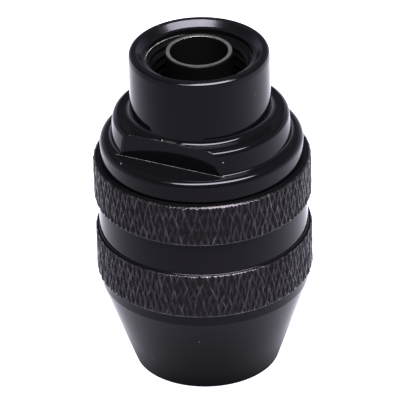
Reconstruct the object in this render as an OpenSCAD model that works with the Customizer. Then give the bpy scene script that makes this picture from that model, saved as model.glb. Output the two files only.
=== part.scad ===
// Keyless three-jaw drill chuck for a small rotary tool, standing on its nose.
// Frame: +Z runs up the chuck's axis from the nose to the rear end that screws onto the spindle,
// and the origin is the centre of the nose face. Every size is in millimetres.
// The jaws are drawn closed. Turning the sleeve lifts them along their slanted bores.

/* [Sleeve] */
// Diameter over the two knurled bands
sleeve_d = 17.5; // [17.3:0.1:18.5]
// Diameter of the smooth groove between the bands
groove_d = 16.7; // [16.5:0.1:17]
// Diameter where the nose cone meets the bevel under the lower band
cone_d = 16.9; // [16.7:0.1:17.2]
// Outer diameter of the nose face
nose_d = 11.7; // [11.2:0.1:12.4]
// Height of the nose cone
cone_h = 7.5; // [7.5:0.1:7.8]
// Height of the bevel under the lower band
bevel_h = 1.0; // [0.8:0.1:1.2]
// Height of the lower knurled band
lower_band_h = 3.75; // [3.5:0.05:4]
// Height of the smooth groove
groove_h = 2.7; // [2.5:0.1:3]

/* [Rear end] */
// Overall length, from the nose face to the rear face
chuck_length = 28; // [27.8:0.1:28.6]
// Diameter of the collar around the spindle bore
collar_d = 11.25; // [11:0.05:11.25]
// Height of the top face of the ring that carries the wrench flats
ring_top_z = 22.75; // [22.6:0.05:22.9]
// Diameter of that ring
ring_d = 14.1; // [13.8:0.1:14.4]
// Distance across the two wrench flats
flats_af = 11.3; // [11.3:0.1:11.8]
// Direction in which the first wrench flat faces, in degrees about the axis
flat_angle = -118.8; // [-180:0.1:180]
// Height of the top face of the flange under the ring
flange_top_z = 20.45; // [20.3:0.05:20.6]
// Diameter of the flange
flange_d = 16.3; // [16:0.1:16.6]
// Height of the underside of the flange
flange_bottom_z = 18.75; // [18.6:0.05:18.9]

/* [Spindle] */
// Major diameter of the spindle thread, M8 x 0.75
thread_d = 8; // [7.9:0.1:8.1]
// Length of the threaded wall
thread_length = 6.5; // [6:0.1:6.5]
// Outer diameter of the spigot that enters the hollow spindle
spigot_d = 5.4; // [5.2:0.1:5.6]
// Inner diameter of the spigot
spigot_bore_d = 4.5; // [4.2:0.1:4.6]

/* [Jaws] */
// Diameter of the round bar that each jaw is cut from
jaw_d = 3.2; // [3.1:0.05:3.2]
// Angle between a jaw's bore and the chuck's axis, in degrees
jaw_angle = 20; // [19.8:0.1:20.2]
// Half the width of the space that the closed jaws leave for the thinnest shank
closed_gap = 0.15; // [0.12:0.01:0.18]
// Axial pitch of the nut's thread
thread_pitch = 0.8; // [0.78:0.01:0.82]
// Axial distance that the jaws retract when the chuck opens fully
jaw_travel = 4.4; // [4:0.1:4.4]

/* [Bearing] */
// Number of balls in the thrust bearing
ball_count = 16; // [12:1:16]
// Diameter of a ball
ball_d = 0.8; // [0.76:0.02:0.8]

/* [Hidden] */
BALLS = [for (i = [1 : ball_count]) str(i < 10 ? "ball_0" : "ball_", i)];
JAWS = ["jaw_1", "jaw_2", "jaw_3"];
$fn = 96;

past = 1;                       // how far a cutter reaches past the face that it opens
edge = 0.15;                    // small chamfer on turned edges
running_gap = 0.05;             // radial clearance between the body and what turns on it
flange_chamfer = 0.3;
ring_chamfer = [0.45, 0.3];     // radial and axial size of the ring's upper chamfer
rim_chamfer = 0.45;             // outer chamfer of the collar's rim

// Sleeve
flange_gap = 0.13;              // open line between the sleeve's top and the flange
sleeve_top_z = flange_bottom_z - flange_gap;
bevel_top_z = cone_h + bevel_h;
groove_bottom_z = bevel_top_z + lower_band_h;
groove_top_z = groove_bottom_z + groove_h;
guide_r = 7.6;                  // body's guide cylinder inside the sleeve
sleeve_bore_r = guide_r + running_gap;
nose_pin_r = 4.8;               // body's front cylinder inside the sleeve's nose
nose_bore_r = nose_pin_r + running_gap;
nose_recess = 0.25;             // the body stands back from the sleeve's nose face

// Nut, from its seat in the sleeve up to the bearing
nut_bottom_z = 7.4;
nut_top_z = 10.4;
nut_r = 7.1;
nut_split = 0.2;                // half the angle of the break line between the halves
nut_steps = 20;                 // straight pieces around half the nut
axial_gap = 0.1;
pin_top_z = nut_bottom_z - axial_gap;

// Thrust bearing, stacked on the nut
race_t = 0.45;
ball_gap = 0.01;
ball_z = nut_top_z + race_t + ball_gap + ball_d / 2;
rear_race_z = ball_z + ball_d / 2 + ball_gap;
shoulder_z = rear_race_z + race_t;
race_track_r = 7.0;
hub_r = 6.35;                   // body's hub inside the bearing
race_gap = 0.1;                 // radial clearance of the races on the hub
cage_gap = 0.07;
race_inner_r = hub_r + race_gap;
cage_inner_r = hub_r + cage_gap;
cage_outer_r = sleeve_bore_r - running_gap;
cage_h = 0.32;
pocket_gap = 0.03;

// Jaws
jaw_r = jaw_d / 2;
jaw_bore_r = jaw_r + running_gap;
jaw_tip_z = 0.3;
jaw_tip_x = 0.06;
jaw_axis_end_z = 11;            // where the closed jaw's axis meets its top face
jaw_bar_start_z = -2;           // the bar starts below the tip face that trims it
jaw_bore_spare = 0.3;           // free length above the jaw when it is fully retracted
jaw_bore_end_z = jaw_axis_end_z + jaw_travel + jaw_bore_spare;
jaw_step = 120;                 // angle from one jaw to the next
flank_gap = 0.05;               // between neighbouring closed jaws
core_drop = 0.55;               // how far a jaw's teeth stand out of the body's core
passage_r = 1.75;               // way for the shank through the body

// Thread between the nut and the jaws
root_gap = 0.12;                // from the jaws' outer line to the nut's root cone
ridge_h = 0.42;
ridge_root_w = 0.48;
ridge_crest_w = 0.2;
ridge_turns = 3;
ridge_lift = 0.02;              // plain wall under the first turn of the ridge
ridge_start_z = nut_bottom_z + ridge_root_w / 2 + ridge_lift;
ridge_corners = [               // corners of the ridge's section: height, and depth from the root
    [-ridge_root_w / 2, 0],
    [-ridge_crest_w / 2, ridge_h],
    [ridge_crest_w / 2, ridge_h],
    [ridge_root_w / 2, 0],
];
tooth_gap_side = 0.07;
tooth_gap_floor = 0.1;

// Spigot
spigot_shank_r = 3;
spigot_seat_z = 16.5;
spigot_rim_drop = 0.07;
thread_top_z = 27;
thread_bottom_z = thread_top_z - thread_length;

function jaw_axis_x(z) = jaw_tip_x + (z - jaw_tip_z) * tan(jaw_angle);
function jaw_outer_x(z) = jaw_axis_x(z) + jaw_r / cos(jaw_angle);
function core_r(z) = jaw_outer_x(z) - core_drop;
function nut_root_r(z) = jaw_outer_x(z) + root_gap;
// Height of the nut's ridge at an angle about the axis, counting whole turns up the nut
function ridge_z(turn, angle) = ridge_start_z + thread_pitch * (turn + angle / 360);

// A round wall between two radii
module tube(inner_r, outer_r, bottom_z, top_z) {
    translate([0, 0, bottom_z])
        difference() {
            cylinder(r = outer_r, h = top_z - bottom_z);
            translate([0, 0, -past]) cylinder(r = inner_r, h = top_z - bottom_z + 2 * past);
        }
}

// A cylinder on the slanted axis of the jaw that faces +X, between two heights of that axis
module on_jaw_axis(r, from_z, to_z) {
    translate([jaw_axis_x(from_z), 0, from_z])
        rotate([0, jaw_angle, 0]) cylinder(r = r, h = (to_z - from_z) / cos(jaw_angle));
}

module body_lathe() {
    rotate_extrude()
        polygon([
            [0, nose_recess],
            [nose_pin_r - edge, nose_recess],
            [nose_pin_r, nose_recess + edge],
            [nose_pin_r, pin_top_z],
            [core_r(pin_top_z), pin_top_z],
            [core_r(nut_top_z + running_gap), nut_top_z + running_gap],
            [hub_r, nut_top_z + running_gap],
            [hub_r, shoulder_z],
            [guide_r, shoulder_z],
            [guide_r, flange_bottom_z],
            [flange_d / 2 - edge, flange_bottom_z],
            [flange_d / 2, flange_bottom_z + edge],
            [flange_d / 2, flange_top_z - flange_chamfer],
            [flange_d / 2 - flange_chamfer, flange_top_z],
            [ring_d / 2, flange_top_z],
            [ring_d / 2, ring_top_z - ring_chamfer[1]],
            [ring_d / 2 - ring_chamfer[0], ring_top_z],
            [collar_d / 2, ring_top_z],
            [collar_d / 2, chuck_length - rim_chamfer],
            [collar_d / 2 - rim_chamfer, chuck_length],
            [0, chuck_length],
        ]);
}

// Threaded bore at its major diameter, with the counterbore and the bevelled mouth above it
module spindle_bore() {
    counterbore_r = 4.3;
    mouth_r = 4.8;
    mouth_h = 0.4;
    translate([0, 0, thread_bottom_z]) cylinder(r = thread_d / 2, h = thread_length + past);
    translate([0, 0, thread_top_z]) cylinder(r = counterbore_r, h = chuck_length - thread_top_z + past);
    rotate_extrude()
        polygon([
            [0, chuck_length - mouth_h],
            [counterbore_r, chuck_length - mouth_h],
            [mouth_r, chuck_length],
            [mouth_r, chuck_length + past],
            [0, chuck_length + past],
        ]);
}

// The two cutters that leave the wrench flats on the ring
module flat_cutters() {
    cutter_w = ring_d + 2 * past;
    for (side = [0, 180])
        rotate([0, 0, flat_angle + side])
            translate([flats_af / 2, -cutter_w / 2, flange_top_z])
                cube([ring_d / 2, cutter_w, ring_top_z - flange_top_z + past]);
}

module chuck_body() {
    color([0.05, 0.05, 0.06])
        difference() {
            body_lathe();
            translate([0, 0, -past]) cylinder(r = passage_r, h = spigot_seat_z + 2 * past);
            translate([0, 0, spigot_seat_z])
                cylinder(r = spigot_shank_r, h = thread_bottom_z - spigot_seat_z + past);
            spindle_bore();
            for (i = [0 : 2])
                rotate([0, 0, jaw_step * i]) on_jaw_axis(jaw_bore_r, -past, jaw_bore_end_z);
            flat_cutters();
        }
}

module spindle_spigot() {
    top_z = chuck_length - spigot_rim_drop;
    color([0.45, 0.45, 0.46])
        difference() {
            rotate_extrude()
                polygon([
                    [0, spigot_seat_z],
                    [spigot_shank_r, spigot_seat_z],
                    [spigot_shank_r, thread_bottom_z],
                    [spigot_d / 2, thread_bottom_z],
                    [spigot_d / 2, top_z],
                    [0, top_z],
                ]);
            translate([0, 0, spigot_seat_z - past])
                cylinder(r = spigot_bore_d / 2, h = top_z - spigot_seat_z + 2 * past);
        }
}

module sleeve() {
    color([0.07, 0.07, 0.08])
        difference() {
            rotate_extrude()
                polygon([
                    [0, 0],
                    [nose_d / 2, 0],
                    [cone_d / 2, cone_h],
                    [sleeve_d / 2, bevel_top_z],
                    [sleeve_d / 2, groove_bottom_z - edge],
                    [sleeve_d / 2 - edge, groove_bottom_z],
                    [groove_d / 2, groove_bottom_z],
                    [groove_d / 2, groove_top_z],
                    [sleeve_d / 2 - edge, groove_top_z],
                    [sleeve_d / 2, groove_top_z + edge],
                    [sleeve_d / 2, sleeve_top_z - edge],
                    [sleeve_d / 2 - edge, sleeve_top_z],
                    [0, sleeve_top_z],
                ]);
            translate([0, 0, -past]) cylinder(r = nose_bore_r, h = nut_bottom_z + 2 * past);
            translate([0, 0, nut_bottom_z]) cylinder(r = sleeve_bore_r, h = sleeve_top_z);
        }
}

// Two triangles for a face with four corners, given clockwise as seen from outside
function quad(a, b, c, d) = [[a, b, c], [a, c, d]];

// The nut's inner wall at an angle about the axis, upwards, as [radius, height]
function nut_inner_line(angle) = concat(
    [[nut_root_r(nut_bottom_z), nut_bottom_z]],
    [for (turn = [0 : ridge_turns - 1])
        for (corner = ridge_corners)
            let (z = ridge_z(turn, angle) + corner[0]) [nut_root_r(z) - corner[1], z]],
    [[nut_root_r(nut_top_z), nut_top_z]]);

// Half of the broken nut, over the half circle that starts at an angle about the axis.
// Each ring of points is a cut through the wall: its inner line, then the same heights outside.
module nut_half(start_angle) {
    count = len(nut_inner_line(0));
    last = nut_steps;
    top = count - 1;
    angles = [for (i = [0 : last]) start_angle + nut_split + (180 - 2 * nut_split) * i / last];
    points = [for (angle = angles)
        for (radius = [0, nut_r])
            for (p = nut_inner_line(angle))
                let (r = radius == 0 ? p[0] : radius) [r * cos(angle), r * sin(angle), p[1]]];
    inner = [for (i = [0 : last]) [for (j = [0 : top]) 2 * i * count + j]];
    outer = [for (i = [0 : last]) [for (j = [0 : top]) (2 * i + 1) * count + j]];
    walls = [for (i = [0 : last - 1])
        for (j = [0 : top - 1])
            for (face = concat(
                quad(inner[i][j], inner[i + 1][j], inner[i + 1][j + 1], inner[i][j + 1]),
                quad(outer[i][j], outer[i][j + 1], outer[i + 1][j + 1], outer[i + 1][j])))
                face];
    rims = [for (i = [0 : last - 1])
        for (face = concat(
            quad(inner[i][0], outer[i][0], outer[i + 1][0], inner[i + 1][0]),
            quad(inner[i][top], inner[i + 1][top], outer[i + 1][top], outer[i][top])))
            face];
    ends = [for (j = [0 : top - 1])
        for (face = concat(
            quad(inner[0][j], inner[0][j + 1], outer[0][j + 1], outer[0][j]),
            quad(inner[last][j], outer[last][j], outer[last][j + 1], inner[last][j + 1])))
            face];
    polyhedron(points = points, faces = concat(walls, rims, ends));
}

module nut_half_a() {
    color([0.55, 0.53, 0.48]) nut_half(0);
}

module nut_half_b() {
    color([0.5, 0.48, 0.44]) nut_half(180);
}

module nut_band() {
    color([0.6, 0.6, 0.62]) tube(nut_r, sleeve_bore_r, nut_bottom_z, nut_top_z);
}

module front_race() {
    color([0.7, 0.7, 0.72]) tube(race_inner_r, sleeve_bore_r, nut_top_z, nut_top_z + race_t);
}

module rear_race() {
    color([0.7, 0.7, 0.72]) tube(race_inner_r, guide_r, rear_race_z, shoulder_z);
}

module ball_cage() {
    color([0.75, 0.6, 0.3])
        difference() {
            tube(cage_inner_r, cage_outer_r, ball_z - cage_h / 2, ball_z + cage_h / 2);
            for (i = [1 : ball_count])
                rotate([0, 0, 360 * i / ball_count])
                    translate([race_track_r, 0, ball_z])
                        cylinder(r = ball_d / 2 + pocket_gap, h = ball_d, center = true);
        }
}

module ball(i) {
    color([0.85, 0.85, 0.87])
        rotate([0, 0, 360 * i / ball_count]) translate([race_track_r, 0, ball_z]) sphere(d = ball_d);
}

// Ring cutters for a jaw's teeth. The jaw at an angle meets the helix where the helix has risen.
module tooth_cutters(angle) {
    first = -ceil(jaw_travel / thread_pitch);
    last = ceil((nut_top_z - nut_bottom_z) / thread_pitch);
    floor_depth = ridge_h - root_gap + tooth_gap_floor;
    mouth_w = ridge_crest_w + 2 * tooth_gap_side
        + (ridge_root_w - ridge_crest_w) * (ridge_h - root_gap) / ridge_h;
    floor_w = ridge_crest_w + tooth_gap_side;
    for (turn = [first : last]) {
        z = ridge_z(turn, angle);
        rotate_extrude()
            polygon([
                [jaw_outer_x(z) - floor_depth, z - floor_w / 2],
                [jaw_outer_x(z), z - mouth_w / 2],
                [jaw_outer_x(z) + past, z - mouth_w / 2],
                [jaw_outer_x(z) + past, z + mouth_w / 2],
                [jaw_outer_x(z), z + mouth_w / 2],
                [jaw_outer_x(z) - floor_depth, z + floor_w / 2],
            ]);
    }
}

// One jaw: a slanted round bar, cut to a wedge at the grip and toothed on its back
module jaw(i) {
    angle = jaw_step * (i - 1);
    wedge_reach = 2 * jaw_d;
    slant = jaw_step / 2;
    apex_x = flank_gap / 2 / sin(slant);
    tip_chamfer = 0.35;
    color([0.6, 0.6, 0.61])
        rotate([0, 0, angle])
            difference() {
                intersection() {
                    on_jaw_axis(jaw_r, jaw_bar_start_z, jaw_axis_end_z);
                    linear_extrude(height = chuck_length)
                        polygon([
                            [closed_gap, -(closed_gap - apex_x) * tan(slant)],
                            [closed_gap + wedge_reach, -(closed_gap - apex_x + wedge_reach) * tan(slant)],
                            [closed_gap + wedge_reach, (closed_gap - apex_x + wedge_reach) * tan(slant)],
                            [closed_gap, (closed_gap - apex_x) * tan(slant)],
                        ]);
                    rotate_extrude()
                        polygon([
                            [0, jaw_tip_z],
                            [jaw_outer_x(jaw_tip_z) - tip_chamfer, jaw_tip_z],
                            [jaw_outer_x(jaw_tip_z) + past, jaw_tip_z + tip_chamfer + past],
                            [sleeve_d, jaw_tip_z + tip_chamfer + past],
                            [sleeve_d, chuck_length],
                            [0, chuck_length],
                        ]);
                }
                tooth_cutters(angle);
            }
}

chuck_body();
spindle_spigot();
sleeve();
nut_half_a();
nut_half_b();
nut_band();
front_race();
rear_race();
ball_cage();
for (i = [1 : ball_count]) ball(i);
for (i = [1 : 3]) jaw(i);
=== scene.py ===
import math

import bmesh
import bpy
import numpy as np
from mathutils import Matrix, Quaternion, Vector


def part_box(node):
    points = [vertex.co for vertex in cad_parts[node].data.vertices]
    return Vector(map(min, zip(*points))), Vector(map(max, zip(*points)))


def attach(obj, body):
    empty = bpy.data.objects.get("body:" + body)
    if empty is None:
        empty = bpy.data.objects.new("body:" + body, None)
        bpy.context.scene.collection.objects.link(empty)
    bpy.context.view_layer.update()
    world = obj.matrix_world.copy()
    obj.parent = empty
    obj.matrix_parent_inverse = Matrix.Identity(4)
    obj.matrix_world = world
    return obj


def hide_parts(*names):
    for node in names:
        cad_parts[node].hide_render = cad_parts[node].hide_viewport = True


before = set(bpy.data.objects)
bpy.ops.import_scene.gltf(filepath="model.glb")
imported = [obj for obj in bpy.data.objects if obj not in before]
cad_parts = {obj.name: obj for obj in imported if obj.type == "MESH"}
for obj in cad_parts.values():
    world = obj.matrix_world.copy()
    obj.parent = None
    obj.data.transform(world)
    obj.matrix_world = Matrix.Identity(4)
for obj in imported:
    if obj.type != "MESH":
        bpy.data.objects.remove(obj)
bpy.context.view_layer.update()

MM = 0.001

# ---------------------------------------------------------------- sizes, in millimetres
# The main ones come from the CAD model, and the finer ones are set against them.
body_low, body_high = (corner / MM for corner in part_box("chuck_body"))
sleeve_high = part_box("sleeve")[1] / MM
spigot_low, spigot_high = (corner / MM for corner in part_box("spindle_spigot"))

# Names in _Z are heights above the nose, and names in _R are radii.

# Body, rear part: flange, ring with the wrench flats, and collar.
SLEEVE_GAP = 0.13
FLANGE_HEIGHT = 1.76
RING_HEIGHT = 2.05
REAR_Z = body_high.z
BODY_NOSE_Z = body_low.z
FLANGE_BOTTOM_Z = sleeve_high.z + SLEEVE_GAP
FLANGE_TOP_Z = FLANGE_BOTTOM_Z + FLANGE_HEIGHT
RING_TOP_Z = FLANGE_TOP_Z + RING_HEIGHT
FLANGE_R = body_high.x
FLANGE_ROUNDING = 0.55
RING_FOOT_R = 7.27
RING_R = 7.05
RING_LEVEL_R = RING_R - 0.5
FOOT_FILLET = 0.24
COLLAR_R = 5.625
COLLAR_FILLET = 0.45
MOUTH_R = 4.99
MOUTH_BEVEL = 0.44
# The flats' distance from the axis and the direction that the first one faces.
FLAT_DISTANCE = 5.8
FLAT_ANGLE = math.radians(-116.0)
FLAT_EDGE_BLEND = 0.06

# Bore: a counterbore, a lip with a painted highlight along part of its edge, and the thread below.
THREAD_R = 4.0
THREAD_CREST_R = 3.72
THREAD_PITCH = 0.75
THREAD_LENGTH = 6.5
THREAD_TOP_Z = REAR_Z - 1.0
BORE_BOTTOM_Z = THREAD_TOP_Z - THREAD_LENGTH
THREAD_ROW = THREAD_PITCH / 12
THREAD_FLANK = 1.25
THREAD_ROOT = 0.1
THREAD_RUN_OUT = THREAD_PITCH * 0.4
COUNTERBORE_R = 4.3
LIP_Z = THREAD_TOP_Z + 0.1
LIP_WIDTH = 0.12
LIP_GLINT_ANGLE = math.radians(145)
LIP_GLINT_SPREAD = math.radians(32)

# Sleeve, from the nose up.
BEVEL_HEIGHT = 1.0
BAND_HEIGHT = 3.75
GROOVE_HEIGHT = 2.7
CONE_TOP_Z = 7.5
BAND_BOTTOM_Z = CONE_TOP_Z + BEVEL_HEIGHT
BAND_TOP_Z = BAND_BOTTOM_Z + BAND_HEIGHT
GROOVE_TOP_Z = BAND_TOP_Z + GROOVE_HEIGHT
SLEEVE_TOP_Z = sleeve_high.z
SLEEVE_R = sleeve_high.x
NOSE_R = 5.85
NOSE_ROUNDING = 0.12
CONE_TOP_R = 8.43
CONE_ROUNDING = 0.4
GROOVE_R = 8.41
GROOVE_FILLET = 0.11
SLEEVE_BORE_R = 7.65
NOSE_BORE_R = 4.85
NUT_SEAT_Z = 7.4

# Body, front part, hidden in the sleeve.
GUIDE_R = 7.6
HUB_R = 6.35
NOSE_PIN_R = 4.8
PIN_TOP_Z = 7.3
HUB_BOTTOM_Z = 10.45
SHOULDER_Z = 12.12
CORE_BOTTOM_R = 3.76
CORE_TOP_R = 4.91
PASSAGE_R = 1.75
SEAT_Z = 16.5
SEAT_R = 3.0
JAW_BORE_R = 1.65
JAW_ANGLE = math.radians(20)
JAW_TIP = Vector((0.06, 0, 0.3))
JAW_BORE_LENGTH = 16.4
JAW_BORE_OVERSHOOT = 2

# Spigot.
SPIGOT_R = 2.7
SPIGOT_BORE_R = 2.25
SPIGOT_ROUNDING = 0.12

# ---------------------------------------------------------------- fineness of the meshes
# Columns of faces around each revolved shape. The collar's columns are those without the flats.
COLLAR_COLUMNS = 240
FRONT_COLUMNS = 144
SPIGOT_COLUMNS = 128
# Points on each rounded corner, and how far before and after it the guard points lie.
ARC_STEPS = 5
GUARD = 0.03
# How near an outline point counts as lying on an edge or at a height.
ON_EDGE = 0.01
ON_LEVEL = 0.0001
SHARP_DEGREES = 40
FINE_SHARP_DEGREES = 30

# Material slots of the pieces that have more than one.
KNURL_SLOT = 1
BORE_SLOT = 1
MOUTH_SLOT = 2
RIM_SLOT = 1


# ---------------------------------------------------------------- mesh helpers
def new_object(name, verts, faces, sharp_degrees):
    """A smooth-shaded mesh object, from points in millimetres."""
    mesh = bpy.data.meshes.new(name)
    mesh.from_pydata((np.asarray(verts) * MM).tolist(), [], faces)
    mesh.update()
    mesh.polygons.foreach_set("use_smooth", [True] * len(mesh.polygons))
    mesh.set_sharp_from_angle(angle=math.radians(sharp_degrees))
    obj = bpy.data.objects.new(name, mesh)
    bpy.context.scene.collection.objects.link(obj)
    return obj


def revolve(name, radius, height, angles, sharp_degrees=SHARP_DEGREES):
    """A closed ring of quads. radius and height hold one row for each point of the outline and
    one column for each angle. The outline runs around the section counter-clockwise."""
    rows, columns = radius.shape
    x = radius * np.cos(angles)
    y = radius * np.sin(angles)
    verts = np.stack([x, y, height], axis=-1).reshape(-1, 3)
    j, i = np.meshgrid(np.arange(rows), np.arange(columns), indexing="ij")
    up = (j + 1) % rows
    side = (i + 1) % columns
    corners = [j * columns + i, j * columns + side, up * columns + side, up * columns + i]
    faces = np.stack(corners, axis=-1)
    return new_object(name, verts, faces.reshape(-1, 4).tolist(), sharp_degrees)


def rounded(corners):
    """Points of an outline whose corners, given as (radius, height, rounding), become arcs.
    A guard point on each side of an arc keeps the shading of the long faces flat."""
    points = []
    count = len(corners)
    for k, (r, z, rounding) in enumerate(corners):
        here = Vector((r, z))
        before = Vector(corners[k - 1][:2]) - here
        after = Vector(corners[(k + 1) % count][:2]) - here
        if rounding <= 0:
            points.append(tuple(here))
            continue
        half = before.angle(after) / 2
        reach = rounding / math.tan(half)
        start = before.normalized()
        end = after.normalized()
        centre = here + (start + end).normalized() * (rounding / math.sin(half))
        first = here + start * reach - centre
        last = here + end * reach - centre
        points.append(tuple(here + start * (reach + GUARD)))
        for step in range(ARC_STEPS + 1):
            share = step / ARC_STEPS
            direction = first * (1 - share) + last * share
            points.append(tuple(centre + direction.normalized() * rounding))
        points.append(tuple(here + end * (reach + GUARD)))
    return np.array(points)


def spread(points, columns):
    """The same outline at every angle, as the two arrays that revolve() takes."""
    radius = np.repeat(points[:, :1], columns, axis=1)
    height = np.repeat(points[:, 1:], columns, axis=1)
    return radius, height


def paint_rows(obj, columns, rows, slot):
    """Puts the faces that start on some rows of a revolved outline in another material slot."""
    slots = np.zeros(len(obj.data.polygons), dtype=np.int32)
    obj.data.polygons.foreach_get("material_index", slots)
    for row in rows:
        slots[row * columns : (row + 1) * columns] = slot
    obj.data.polygons.foreach_set("material_index", slots)


def mark_wear_and_glint(obj, wear_and_glint):
    """Stores the wear and the painted highlights at each point, for the materials."""
    layer = obj.data.attributes.new("wear_and_glint", "FLOAT", "POINT")
    layer.data.foreach_set("value", wear_and_glint.reshape(-1).astype(np.float32))


def on_edge(points, radius, height):
    """A column with 1 for the outline points on one edge, and 0 for the rest."""
    gaps = np.linalg.norm(points - np.array((radius, height)), axis=-1)
    return (gaps < ON_EDGE).astype(float)[:, None]


def even_angles(columns):
    """As many angles as there are columns, around the full circle."""
    return np.arange(columns) * 2 * math.pi / columns


def subdivide_rows(radius, start_z, end_z, step):
    """The rows of a straight wall between two heights at one radius, a step apart."""
    count = max(1, round(abs(end_z - start_z) / step))
    heights = np.linspace(start_z, end_z, count + 1)
    return np.stack([np.full(count + 1, radius), heights], axis=-1)


# ---------------------------------------------------------------- sleeve
# Knurl: each hand has this many strong ridges, with as many weak ones between them.
KNURL_STARTS = 54
KNURL_COLUMNS = KNURL_STARTS * 24
KNURL_ROW = 0.06
KNURL_DEPTH = 0.14
KNURL_SLOPE = math.tan(math.radians(15.6))
KNURL_SEED = 7
WEAK_RIDGE = 0.65
# Widths of a ridge, of its flank and of its worn line, as shares of the ridges' spacing.
KNURL_CREST = 0.02
KNURL_FLANK = 0.22
RIDGE_WEAR_WIDTH = 0.07
# Ranges that each ridge's height and wear are drawn from.
RIDGE_STRENGTH = (0.75, 1.05)
RIDGE_WEAR = (0.2, 1.0)
# How far a ridge wanders from a true helix, and how fast it swells and fades along its length.
WANDER = 0.06
SWELL_RATE = 4.2
# Top edge of each band, and the lip at its foot. The pale marks along both are partly wear,
# partly painted highlight.
LOWER_CHAMFER_R = SLEEVE_R - 0.12
UPPER_CHAMFER_R = SLEEVE_R - 0.2
CHAMFER_SLOPE = 1.35
CHAMFER_HEIGHT = 0.2
CHAMFER_ROW = 0.02
EDGE_WEAR_AND_GLINT = 0.4
EDGE_WEAR_AND_GLINT_WIDTH = 0.04
LIP_R = SLEEVE_R - 0.19
LIP_WEAR_AND_GLINT = 0.9
# Two fine rings on the sleeve's top face.
LATHE_RINGS = (8.36, 8.20)
LATHE_RING_HALF_WIDTH = 0.04
LATHE_RING_DEPTH = 0.008


def knurl_ridges(angles, height):
    """Height, 0 to 1, of two crossing sets of helical ridges, with a weaker ridge between each
    two, and the wear at each point. The wear is along the tops of the ridges, and no two ridges
    are quite alike."""
    chance = np.random.default_rng(KNURL_SEED)
    turns = angles * KNURL_STARTS / (2 * math.pi)
    lean = height * KNURL_SLOPE * KNURL_STARTS / (2 * math.pi * SLEEVE_R)
    tall = []
    wear_and_glint = []
    for hand in (-1, 1):
        for shift, strength in ((0, 1), (0.5, WEAK_RIDGE)):
            place = turns + hand * lean + shift
            place = place + WANDER * np.sin(2.3 * height + 9 * angles + 4 * shift + hand)
            from_ridge = np.abs((place + 0.5) % 1 - 0.5)
            which = np.floor(place + 0.5).astype(int) % KNURL_STARTS
            strengths = chance.uniform(*RIDGE_STRENGTH, KNURL_STARTS).clip(0, 1)
            swell = np.sin(SWELL_RATE * height + chance.uniform(0, 6.28, KNURL_STARTS)[which])
            crest = strength * strengths[which] * (0.95 + 0.05 * swell)
            wear = chance.uniform(*RIDGE_WEAR, KNURL_STARTS)[which] * (0.6 + 0.4 * swell)
            flank = np.clip(1 - (from_ridge - KNURL_CREST) / KNURL_FLANK, 0, 1)
            worn_line = np.clip(1 - from_ridge / RIDGE_WEAR_WIDTH, 0, 1)
            tall.append(crest * flank)
            wear_and_glint.append(strength * wear * worn_line)
    return np.maximum.reduce(tall), np.maximum.reduce(wear_and_glint)


def band_rows(bottom_z, top_z):
    """Rows of a knurled band, closer together at its chamfered top edge."""
    edge_z = top_z - CHAMFER_HEIGHT
    wall = subdivide_rows(SLEEVE_R, bottom_z, edge_z, KNURL_ROW)
    edge = subdivide_rows(SLEEVE_R, edge_z + CHAMFER_ROW, top_z, CHAMFER_ROW)
    return np.concatenate([wall, edge])


def lathe_ring(radius):
    """Outline corners of a shallow ring that the lathe left on the top of the sleeve."""
    return [
        (radius + LATHE_RING_HALF_WIDTH, SLEEVE_TOP_Z, 0),
        (radius, SLEEVE_TOP_Z - LATHE_RING_DEPTH, 0),
        (radius - LATHE_RING_HALF_WIDTH, SLEEVE_TOP_Z, 0),
    ]


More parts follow.
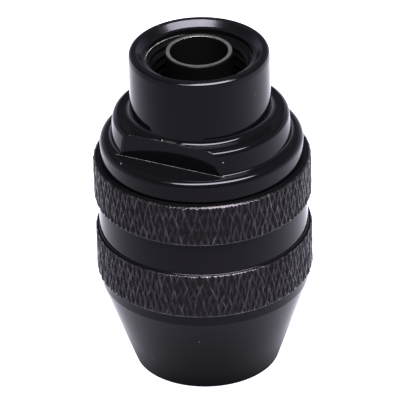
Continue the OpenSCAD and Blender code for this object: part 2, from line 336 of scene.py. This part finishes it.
def make_sleeve():
    """The hand-turned shell: nose cone, bevel, and two knurled bands with a groove between."""
    inner = rounded(
        [
            (UPPER_CHAMFER_R + 0.02, SLEEVE_TOP_Z, 0),
            (UPPER_CHAMFER_R, SLEEVE_TOP_Z, 0),
            *lathe_ring(LATHE_RINGS[0]),
            *lathe_ring(LATHE_RINGS[1]),
            (SLEEVE_BORE_R, SLEEVE_TOP_Z, 0.06),
            (SLEEVE_BORE_R, NUT_SEAT_Z, 0),
            (NOSE_BORE_R, NUT_SEAT_Z, 0),
            (NOSE_BORE_R, 0, 0.08),
            (NOSE_R, 0, NOSE_ROUNDING),
            (CONE_TOP_R, CONE_TOP_Z, CONE_ROUNDING),
            (LIP_R, BAND_BOTTOM_Z - 0.12, 0.05),
            (LIP_R + 0.1, BAND_BOTTOM_Z, 0),
        ]
    )[1:-1]
    groove = rounded(
        [
            (LOWER_CHAMFER_R + 0.02, BAND_TOP_Z, 0),
            (LOWER_CHAMFER_R, BAND_TOP_Z, 0),
            (GROOVE_R, BAND_TOP_Z, GROOVE_FILLET),
            (GROOVE_R, GROOVE_TOP_Z, 0.04),
            (LIP_R, GROOVE_TOP_Z + 0.12, 0.05),
            (LIP_R + 0.1, GROOVE_TOP_Z + 0.3, 0),
        ]
    )[1:-1]
    lower = band_rows(BAND_BOTTOM_Z, BAND_TOP_Z)
    upper = band_rows(GROOVE_TOP_Z + 0.2, SLEEVE_TOP_Z)
    points = np.concatenate([inner, lower, groove, upper])
    angles = even_angles(KNURL_COLUMNS)
    radius, height = spread(points, KNURL_COLUMNS)
    wear_and_glint = np.zeros_like(radius)
    first_lower = len(inner)
    first_upper = first_lower + len(lower) + len(groove)
    knurled_rows = []
    bands = (
        (first_lower, len(lower), LOWER_CHAMFER_R),
        (first_upper, len(upper), UPPER_CHAMFER_R),
    )
    for start, rows, chamfer_r in bands:
        band = slice(start, start + rows)
        tall, wear_and_glint[band] = knurl_ridges(angles[None, :], height[band])
        knurled = radius[band] - KNURL_DEPTH * (1 - tall)
        chamfer = chamfer_r + (points[start + rows - 1, 1] - height[band]) * CHAMFER_SLOPE
        radius[band] = np.minimum(knurled, chamfer)
        # Pale marks along each band's top edge and on the lip below it: partly wear, partly painted
        # highlight.
        at_edge = np.clip(1 - np.abs(knurled - chamfer) / EDGE_WEAR_AND_GLINT_WIDTH, 0, 1)
        wear_and_glint[band] = np.maximum(wear_and_glint[band], EDGE_WEAR_AND_GLINT * at_edge)
        wear_and_glint[start - 1 : start + 1] = LIP_WEAR_AND_GLINT
        knurled_rows += range(start - 1, start + rows)
    sleeve = revolve("sleeve_shell", radius, height, angles, FINE_SHARP_DEGREES)
    mark_wear_and_glint(sleeve, wear_and_glint)
    paint_rows(sleeve, KNURL_COLUMNS, knurled_rows, KNURL_SLOT)
    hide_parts("sleeve")
    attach(sleeve, "sleeve")


# ---------------------------------------------------------------- body
# A painted highlight along the foot of each wrench flat, and a fainter pale line along its top
# edge.
FLAT_FOOT_GLINT = 0.5
FLAT_TOP_LINE = 0.1


def soft_min(a, b, width):
    """The smaller of two values, blended where they differ by less than the width."""
    blend = np.maximum(width - np.abs(a - b), 0) / width
    return np.minimum(a, b) - blend * blend * width / 4


def body_angles():
    """Evenly spread angles, with more of them at the ends of the two wrench flats."""
    fine = np.arange(math.radians(28), math.radians(39), math.radians(0.15))
    extra = [FLAT_ANGLE + turn + side * fine for turn in (0, math.pi) for side in (-1, 1)]
    everything = np.concatenate([even_angles(COLLAR_COLUMNS), *extra]) % (2 * math.pi)
    return np.unique(everything.round(5))


def cut_flats(points, radius, angles):
    """Cuts the two wrench flats into the ring's rows of radius. Returns the ring's rows, which
    of their points are cut, and the radius at which the ring meets the flange."""
    flat_r = np.full(len(angles), 100.0)
    for turn in (0, math.pi):
        cosine = np.cos(angles - FLAT_ANGLE - turn)
        facing = cosine > 0.5
        flat_r[facing] = np.minimum(flat_r[facing], FLAT_DISTANCE / cosine[facing])
    at_foot = np.abs(points[:, 1] - FLANGE_TOP_Z) < ON_LEVEL
    foot_r = points[at_foot, 0].min()
    ring = (points[:, 1] > FLANGE_TOP_Z - 0.001) & (points[:, 1] < RING_TOP_Z + COLLAR_FILLET)
    ring &= (points[:, 0] < foot_r + GUARD + 0.005) & (points[:, 0] > COLLAR_R + 0.001)
    # The guard row on the flange stays outside the foot row, so the line between them is crisp.
    outside_foot = points[ring, :1] > foot_r + ON_EDGE
    limit = flat_r[None, :] + 2 * GUARD * outside_foot
    cut = limit < radius[ring]
    radius[ring] = soft_min(radius[ring], limit, FLAT_EDGE_BLEND)
    return ring, cut, foot_r


def make_body_rear():
    """Flange, ring with the wrench flats, collar and threaded bore."""
    angles = body_angles()
    columns = len(angles)
    # Many rows, because the flats cut through the top of the ring.
    ring_top = np.arange(RING_LEVEL_R, COLLAR_R + COLLAR_FILLET + GUARD + 0.01, -0.03)
    outside = rounded(
        [
            (SEAT_R, FLANGE_BOTTOM_Z, 0),
            (FLANGE_R, FLANGE_BOTTOM_Z, 0.06),
            (FLANGE_R, FLANGE_TOP_Z, FLANGE_ROUNDING),
            (RING_FOOT_R, FLANGE_TOP_Z, FOOT_FILLET),
            (RING_R, RING_TOP_Z - 0.32, 0.3),
            (RING_R - 0.16, RING_TOP_Z - 0.12, 0.4),
            (RING_R - 0.37, RING_TOP_Z, 0.05),
            *((r, RING_TOP_Z, 0) for r in ring_top),
            (COLLAR_R, RING_TOP_Z, COLLAR_FILLET),
            (COLLAR_R, REAR_Z - 0.5, 0.9),
            (COLLAR_R - 0.07, REAR_Z - 0.13, 0.17),
            (COLLAR_R - 0.23, REAR_Z, 0.1),
            (MOUTH_R, REAR_Z, 0.06),
            (MOUTH_R - MOUTH_BEVEL, REAR_Z - MOUTH_BEVEL, 0.05),
            (COUNTERBORE_R, REAR_Z - 0.5, 0),
            (COUNTERBORE_R, LIP_Z + 0.05, 0),
            (COUNTERBORE_R, LIP_Z, 0),
            (COUNTERBORE_R - 0.05, LIP_Z, 0),
            (COUNTERBORE_R - LIP_WIDTH, LIP_Z - 0.05, 0),
            (COUNTERBORE_R - LIP_WIDTH, THREAD_TOP_Z, 0),
        ]
    )
    thread = subdivide_rows(THREAD_R, THREAD_TOP_Z - 0.02, BORE_BOTTOM_Z + 0.02, THREAD_ROW)
    bottom = np.array([(THREAD_R, BORE_BOTTOM_Z), (SEAT_R, BORE_BOTTOM_Z)])
    points = np.concatenate([outside, thread, bottom])
    radius, height = spread(points, columns)

    ring, cut, foot_r = cut_flats(points, radius, angles)
    wear_and_glint = np.zeros_like(radius)
    # Pale lines on the flats: a painted highlight along the foot, a faint line along the top edge.
    flat_foot = on_edge(points, foot_r, FLANGE_TOP_Z)[ring]
    last_cut = cut & ~np.roll(cut, -1, axis=0) & (points[ring, 1:] > RING_TOP_Z - 0.1)
    wear_and_glint[ring] = np.maximum(FLAT_FOOT_GLINT * flat_foot * cut, FLAT_TOP_LINE * last_cut)
    # A painted highlight along part of the lip's edge.
    lip_glint = np.clip(1.4 - np.abs(angles - LIP_GLINT_ANGLE) / LIP_GLINT_SPREAD, 0, 1)
    wear_and_glint += on_edge(points, COUNTERBORE_R, LIP_Z) * lip_glint[None, :]

    first = len(outside)
    rows = slice(first, first + len(thread))
    phase = (height[rows] / THREAD_PITCH - angles[None, :] / (2 * math.pi)) % 1
    ridge = np.clip((0.5 - np.abs(phase - 0.5)) * 2 * THREAD_FLANK - THREAD_ROOT, 0, 1)
    from_end = np.minimum(THREAD_TOP_Z - height[rows], height[rows] - BORE_BOTTOM_Z)
    run_out = np.clip(from_end / THREAD_RUN_OUT, 0, 1)
    radius[rows] -= (THREAD_R - THREAD_CREST_R) * ridge * run_out

    rear = revolve("body_rear", radius, height, angles)
    mark_wear_and_glint(rear, wear_and_glint)
    # The wall of the counterbore, and everything from the lip's inner edge down.
    counterbore_row = first - 6
    below_lip = range(first - 2, len(points))
    paint_rows(rear, columns, [counterbore_row, *below_lip], BORE_SLOT)
    in_mouth = (points[:, 0] < MOUTH_R) & (points[:, 0] > COUNTERBORE_R)
    in_mouth &= points[:, 1] > REAR_Z - MOUTH_BEVEL - 0.02
    paint_rows(rear, columns, np.flatnonzero(in_mouth), MOUTH_SLOT)
    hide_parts("chuck_body")
    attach(rear, "body")


def jaw_bore_cutter(turn):
    """A cutter along the axis of one jaw, somewhat longer than the bore at the nose end."""
    length = JAW_BORE_LENGTH + JAW_BORE_OVERSHOOT
    radius = JAW_BORE_R * MM
    mesh = bpy.data.meshes.new("cutter")
    shape = bmesh.new()
    bmesh.ops.create_cone(
        shape, cap_ends=True, segments=96, radius1=radius, radius2=radius, depth=length * MM
    )
    place = (
        Matrix.Rotation(turn, 4, "Z")
        @ Matrix.Translation(JAW_TIP * MM)
        @ Matrix.Rotation(JAW_ANGLE, 4, "Y")
        @ Matrix.Translation(Vector((0, 0, length / 2 - JAW_BORE_OVERSHOOT)) * MM)
    )
    bmesh.ops.transform(shape, matrix=place, verts=shape.verts)
    shape.to_mesh(mesh)
    shape.free()
    obj = bpy.data.objects.new("cutter", mesh)
    bpy.context.scene.collection.objects.link(obj)
    return obj


def apply_modifiers(obj):
    """Bakes an object's modifiers into its mesh."""
    depsgraph = bpy.context.evaluated_depsgraph_get()
    mesh = bpy.data.meshes.new_from_object(obj.evaluated_get(depsgraph))
    obj.modifiers.clear()
    obj.data = mesh


def make_body_front():
    """Guide cylinder, bearing hub, core and front cylinder, with the three jaw bores cut out."""
    points = rounded(
        [
            (PASSAGE_R, SEAT_Z, 0),
            (PASSAGE_R, BODY_NOSE_Z, 0.1),
            (NOSE_PIN_R, BODY_NOSE_Z, 0.12),
            (NOSE_PIN_R, PIN_TOP_Z, 0),
            (CORE_BOTTOM_R, PIN_TOP_Z, 0),
            (CORE_TOP_R, HUB_BOTTOM_Z, 0),
            (HUB_R, HUB_BOTTOM_Z, 0.08),
            (HUB_R, SHOULDER_Z, 0),
            (GUIDE_R, SHOULDER_Z, 0.08),
            (GUIDE_R, FLANGE_BOTTOM_Z, 0),
            (SEAT_R, FLANGE_BOTTOM_Z, 0),
            (SEAT_R, SEAT_Z, 0),
        ]
    )
    radius, height = spread(points, FRONT_COLUMNS)
    front = revolve("body_front", radius, height, even_angles(FRONT_COLUMNS))
    cutters = [jaw_bore_cutter(jaw * 2 * math.pi / 3) for jaw in range(3)]
    for cutter in cutters:
        cut = front.modifiers.new("jaw_bore", "BOOLEAN")
        cut.operation = "DIFFERENCE"
        cut.solver = "EXACT"
        cut.object = cutter
    apply_modifiers(front)
    for cutter in cutters:
        bpy.data.objects.remove(cutter)
    front.data.set_sharp_from_angle(angle=math.radians(FINE_SHARP_DEGREES))
    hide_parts("chuck_body")
    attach(front, "body")


def make_spigot():
    """The tube pressed into the body, standing in the middle of the bore."""
    points = rounded(
        [
            (SPIGOT_BORE_R, spigot_low.z, 0),
            (SEAT_R, spigot_low.z, 0),
            (SEAT_R, BORE_BOTTOM_Z, 0),
            (SPIGOT_R, BORE_BOTTOM_Z, 0),
            (SPIGOT_R, spigot_high.z, SPIGOT_ROUNDING),
            (SPIGOT_BORE_R + 0.08, spigot_high.z, 0.03),
            (SPIGOT_BORE_R, spigot_high.z - 0.3, 0),
        ]
    )
    radius, height = spread(points, SPIGOT_COLUMNS)
    spigot = revolve("spigot_tube", radius, height, even_angles(SPIGOT_COLUMNS))
    rim = np.flatnonzero(points[:, 1] > spigot_high.z - ON_EDGE)
    paint_rows(spigot, SPIGOT_COLUMNS, rim, RIM_SLOT)
    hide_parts("spindle_spigot")
    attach(spigot, "body")


# ---------------------------------------------------------------- materials
OXIDE = (0.0012, 0.0011, 0.0014)
KNURL_OXIDE = (0.0012, 0.001, 0.0012)
# Colours of the pale marks, for wear and for painted highlights.
WEAR_AND_GLINT_STEEL = (0.3, 0.3, 0.31)
WEAR_AND_GLINT_OXIDE = (0.06, 0.057, 0.066)
OXIDE_TINT = (0.9, 0.85, 1.0, 1.0)
KNURL_TINT = (0.97, 0.88, 1.0, 1.0)
# Towards the nose the oxide grows rougher, up to the first of these heights, and reflects less,
# up to the second; the weaker reflection is painted shade.
DULL_TOP_Z = 5.0
NOSE_SHADE_TOP_Z = 10.0
# Noise scales, in cycles per metre: patches of wear, patches of gloss, turning marks, and
# streaks in the knurl. Along an axis with a stretch the grain is that much finer.
WEAR_GRAIN = 1200
GLOSS_GRAIN = 900
TURNING_GRAIN = 300
TURNING_STRETCH = (0.02, 0.02, 12)
STREAK_GRAIN = 2500
STREAK_STRETCH = (1, 1, 0.2)
STEEL_GRAIN = 500
# Dust: how close together the specks lie, as a texture scale, and their size and strength.
DUST_SCALE = 600
DUST_SIZE = (0.015, 0.04)
DUST_STRENGTH = 0.4


def new_material(name, color, metallic, roughness, **sockets):
    """A material, its node tree and its shader. More sockets are set by keyword."""
    material = bpy.data.materials.new(name)
    material.use_nodes = True
    shader = material.node_tree.nodes["Principled BSDF"]
    shader.inputs["Base Color"].default_value = (*color, 1)
    shader.inputs["Metallic"].default_value = metallic
    shader.inputs["Roughness"].default_value = roughness
    for socket, value in sockets.items():
        shader.inputs[socket.replace("_", " ")].default_value = value
    return material, material.node_tree, shader


def object_place(tree):
    """The position of each point in its object, which here is the CAD frame."""
    return tree.nodes.new("ShaderNodeTexCoord").outputs["Object"]


def map_range(tree, value, start, end, low, high):
    """Maps a value from one range to another, and stops at the ends."""
    node = tree.nodes.new("ShaderNodeMapRange")
    for name, number in (("From Min", start), ("From Max", end), ("To Min", low), ("To Max", high)):
        node.inputs[name].default_value = number
    tree.links.new(value, node.inputs["Value"])
    return node.outputs["Result"]


def combine(tree, operation, first, second, clamp=False):
    """One arithmetic step on two values."""
    node = tree.nodes.new("ShaderNodeMath")
    node.operation = operation
    node.use_clamp = clamp
    tree.links.new(first, node.inputs[0])
    tree.links.new(second, node.inputs[1])
    return node.outputs["Value"]


def add_noise(tree, scale, detail=3.0, stretch=(1, 1, 1)):
    """Noise in object space. A stretch above 1 along an axis makes the grain finer along it."""
    mapping = tree.nodes.new("ShaderNodeMapping")
    mapping.inputs["Scale"].default_value = stretch
    noise = tree.nodes.new("ShaderNodeTexNoise")
    noise.inputs["Scale"].default_value = scale
    noise.inputs["Detail"].default_value = detail
    tree.links.new(object_place(tree), mapping.inputs["Vector"])
    tree.links.new(mapping.outputs["Vector"], noise.inputs["Vector"])
    return noise.outputs["Fac"]


def add_bump(tree, shader, value, strength, distance):
    """Turns a value into small bumps, whose height is in metres."""
    bump = tree.nodes.new("ShaderNodeBump")
    bump.inputs["Strength"].default_value = strength
    bump.inputs["Distance"].default_value = distance
    tree.links.new(value, bump.inputs["Height"])
    tree.links.new(bump.outputs["Normal"], shader.inputs["Normal"])


def add_dust(tree):
    """A few specks, scattered evenly."""
    cells = tree.nodes.new("ShaderNodeTexVoronoi")
    cells.inputs["Scale"].default_value = DUST_SCALE
    tree.links.new(object_place(tree), cells.inputs["Vector"])
    return map_range(tree, cells.outputs["Distance"], *DUST_SIZE, DUST_STRENGTH, 0.0)


def paint_wear_and_glint(tree, shader, base, wear_and_glint_color, low, high):
    """Mixes the base colour towards bare metal, in patches, where the mesh is marked with wear and
    with painted highlights, and puts a few pale specks of dust on it."""
    wear_and_glint = tree.nodes.new("ShaderNodeAttribute")
    wear_and_glint.attribute_name = "wear_and_glint"
    patches = map_range(tree, add_noise(tree, WEAR_GRAIN), 0.0, 1.0, low, high)
    wear_and_glint_share = combine(tree, "MULTIPLY", wear_and_glint.outputs["Fac"], patches, clamp=True)
    marks = combine(tree, "MAXIMUM", wear_and_glint_share, add_dust(tree))
    mix = tree.nodes.new("ShaderNodeMix")
    mix.data_type = "RGBA"
    mix.inputs["A"].default_value = (*base, 1)
    mix.inputs["B"].default_value = (*wear_and_glint_color, 1)
    tree.links.new(marks, mix.inputs["Factor"])
    tree.links.new(mix.outputs["Result"], shader.inputs["Base Color"])


def black_finish(name, smooth, rough):
    """Glossy blue-black oxide over fine turning marks. Its roughness varies in patches between
    the two values and grows towards the nose, where its reflection also weakens, as painted
    shade."""
    material, tree, shader = new_material(
        name, OXIDE, 0.0, smooth, IOR=1.2, Specular_Tint=OXIDE_TINT
    )
    paint_wear_and_glint(tree, shader, OXIDE, WEAR_AND_GLINT_STEEL, -0.2, 1.0)
    split = tree.nodes.new("ShaderNodeSeparateXYZ")
    tree.links.new(object_place(tree), split.inputs["Vector"])
    height = split.outputs["Z"]
    patches = map_range(tree, add_noise(tree, GLOSS_GRAIN), 0.0, 1.0, smooth, rough)
    dull = map_range(tree, height, 0.0, DULL_TOP_Z * MM, 0.4, 0.0)
    # Painted shade: the oxide reflects less towards the nose.
    nose_shade_level = map_range(tree, height, 0.0, NOSE_SHADE_TOP_Z * MM, 0.05, 0.5)
    roughness = combine(tree, "ADD", patches, dull)
    tree.links.new(roughness, shader.inputs["Roughness"])
    tree.links.new(nose_shade_level, shader.inputs["Specular IOR Level"])
    turning = add_noise(tree, TURNING_GRAIN, 2.0, TURNING_STRETCH)
    add_bump(tree, shader, turning, 0.04, 0.00002)
    return material


def shaded_bore_finish():
    """Plain dull black, for the inside of the thread and the spigot. Its weak reflection is painted
    shade that keeps the inside of the bore dark.
    """
    return new_material("shaded_bore_finish", (0.001, 0.001, 0.0011), 0.0, 0.3, IOR=1.12)[0]


def knurl_finish():
    """The same oxide over cut ridges: streaked, with wear along the crests, and pale along
    the edges of the bands, partly from wear and partly as painted highlight.
    """
    material, tree, shader = new_material(
        "knurl_finish", KNURL_OXIDE, 0.0, 0.1, IOR=1.195, Specular_Tint=KNURL_TINT
    )
    paint_wear_and_glint(tree, shader, KNURL_OXIDE, WEAR_AND_GLINT_OXIDE, -0.6, 1.5)
    streaks = add_noise(tree, STREAK_GRAIN, 4.0, STREAK_STRETCH)
    add_bump(tree, shader, streaks, 0.35, 0.00003)
    return material


def steel(name, color, roughness, grain=(1, 1, 20)):
    """Bare metal with a grain that shows in its gloss and as faint marks."""
    material, tree, shader = new_material(name, color, 1.0, roughness)
    noise = add_noise(tree, STEEL_GRAIN, 4.0, grain)
    uneven = map_range(tree, noise, 0.0, 1.0, roughness * 0.75, roughness * 1.3)
    tree.links.new(uneven, shader.inputs["Roughness"])
    add_bump(tree, shader, noise, 0.15, 0.00002)
    return material


def paint(names, *materials):
    """Gives pieces their materials, one for each slot."""
    for name in names:
        mesh = bpy.data.objects[name].data
        slots = np.zeros(len(mesh.polygons), dtype=np.int32)
        mesh.polygons.foreach_get("material_index", slots)
        mesh.materials.clear()
        for material in materials:
            mesh.materials.append(material)
        mesh.polygons.foreach_set("material_index", np.minimum(slots, len(materials) - 1))


def make_materials():
    black = black_finish("black_finish", 0.05, 0.13)
    mouth = black_finish("mouth_finish", 0.14, 0.3)
    bore = shaded_bore_finish()
    even_grain = (6, 6, 6)
    paint(["body_rear"], black, bore, mouth)
    paint(["body_front"], black)
    paint(["sleeve_shell"], black, knurl_finish())
    paint(["spigot_tube"], bore, steel("spigot_steel", (0.12, 0.12, 0.115), 0.45, even_grain))
    paint(["jaw_1", "jaw_2", "jaw_3"], steel("jaw_steel", (0.5, 0.5, 0.51), 0.3))
    paint(["nut_half_a", "nut_half_b"], steel("nut_steel", (0.42, 0.4, 0.37), 0.4))
    paint(["nut_band", "front_race", "rear_race"], steel("race_steel", (0.6, 0.6, 0.61), 0.22))
    paint(["ball_cage"], steel("cage_brass", (0.62, 0.43, 0.16), 0.35, even_grain))
    balls = [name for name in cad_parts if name.startswith("ball_") and name != "ball_cage"]
    paint(balls, steel("ball_steel", (0.8, 0.8, 0.81), 0.08, (1, 1, 1)))


# ---------------------------------------------------------------- studio, in metres
FLOOR_HALF_SIZE = 3.0
# Just under the nose, so that the two faces do not lie in one plane.
FLOOR_Z = -0.00002
MIDDLE = (0, 0, 0.014)


def make_floor():
    """A pale plain floor that glows, and glows more towards the back and the right."""
    half = FLOOR_HALF_SIZE
    corners = [(x * half, y * half, FLOOR_Z) for x, y in ((-1, -1), (1, -1), (1, 1), (-1, 1))]
    mesh = bpy.data.meshes.new("studio_floor")
    mesh.from_pydata(corners, [], [(0, 1, 2, 3)])
    floor = bpy.data.objects.new("studio_floor", mesh)
    bpy.context.scene.collection.objects.link(floor)
    material, tree, shader = new_material("studio_floor", (0.04, 0.039, 0.046), 0.0, 0.9)
    shader.inputs["Emission Color"].default_value = (1.03, 1.0, 1.16, 1)
    across = tree.nodes.new("ShaderNodeVectorMath")
    across.operation = "DOT_PRODUCT"
    across.inputs[1].default_value = (0.5, 1.0, 0.0)
    tree.links.new(object_place(tree), across.inputs[0])
    glow = map_range(tree, across.outputs["Value"], -0.045, 0.03, 0.82, 1.8)
    tree.links.new(glow, shader.inputs["Emission Strength"])
    mesh.materials.append(material)


def area_light(name, place, width, depth, power):
    """An elliptical soft light aimed at the middle of the chuck."""
    data = bpy.data.lights.new(name, "AREA")
    data.energy = power
    data.shape = "ELLIPSE"
    data.size = width
    data.size_y = depth
    light = bpy.data.objects.new(name, data)
    light.location = place
    light.rotation_mode = "QUATERNION"
    light.rotation_quaternion = (Vector(MIDDLE) - Vector(place)).to_track_quat("-Z", "Y")
    bpy.context.scene.collection.objects.link(light)


def make_world():
    """A pale surround, dim in front of the chuck and overhead."""
    world = bpy.data.worlds.new("studio")
    world.use_nodes = True
    tree = world.node_tree
    background = tree.nodes["Background"]
    background.inputs["Color"].default_value = (0.9, 0.86, 1.08, 1)
    direction = tree.nodes.new("ShaderNodeTexCoord")
    split = tree.nodes.new("ShaderNodeSeparateXYZ")
    tree.links.new(direction.outputs["Generated"], split.inputs["Vector"])
    front = map_range(tree, split.outputs["Y"], -0.7, 0.0, 0.1, 1.0)
    overhead = map_range(tree, split.outputs["Z"], 0.3, 0.5, 1.0, 0.2)
    strength = combine(tree, "MULTIPLY", front, overhead)
    tree.links.new(strength, background.inputs["Strength"])
    bpy.context.scene.world = world


def make_lights():
    area_light("top_softbox", (0.055, -0.19, 0.45), 0.62, 0.17, 18.0)
    area_light("soft_halo", (0.04, -0.2, 0.44), 0.80, 0.28, 1.5)


def make_camera():
    """A long lens that looks down on the front of the chuck, leaning a little."""
    elevation = math.radians(31.0)
    distance = 0.400
    back = Vector((0, -math.cos(elevation), math.sin(elevation)))
    data = bpy.data.cameras.new("camera")
    data.lens = 447.4
    data.sensor_width = 36
    data.shift_x = -0.0084
    data.shift_y = 0.0039
    data.clip_start = 0.01
    data.clip_end = 20
    camera = bpy.data.objects.new("camera", data)
    camera.location = Vector(MIDDLE) + back * distance
    camera.rotation_mode = "QUATERNION"
    lean = Quaternion((0, 0, 1), math.radians(-1.71))
    camera.rotation_quaternion = (-back).to_track_quat("-Z", "Y") @ lean
    bpy.context.scene.collection.objects.link(camera)
    bpy.context.scene.camera = camera


make_camera()
make_sleeve()
make_body_rear()
make_body_front()
make_spigot()
make_materials()
make_floor()
make_lights()
make_world()
bpy.context.scene.view_settings.view_transform = "Standard"
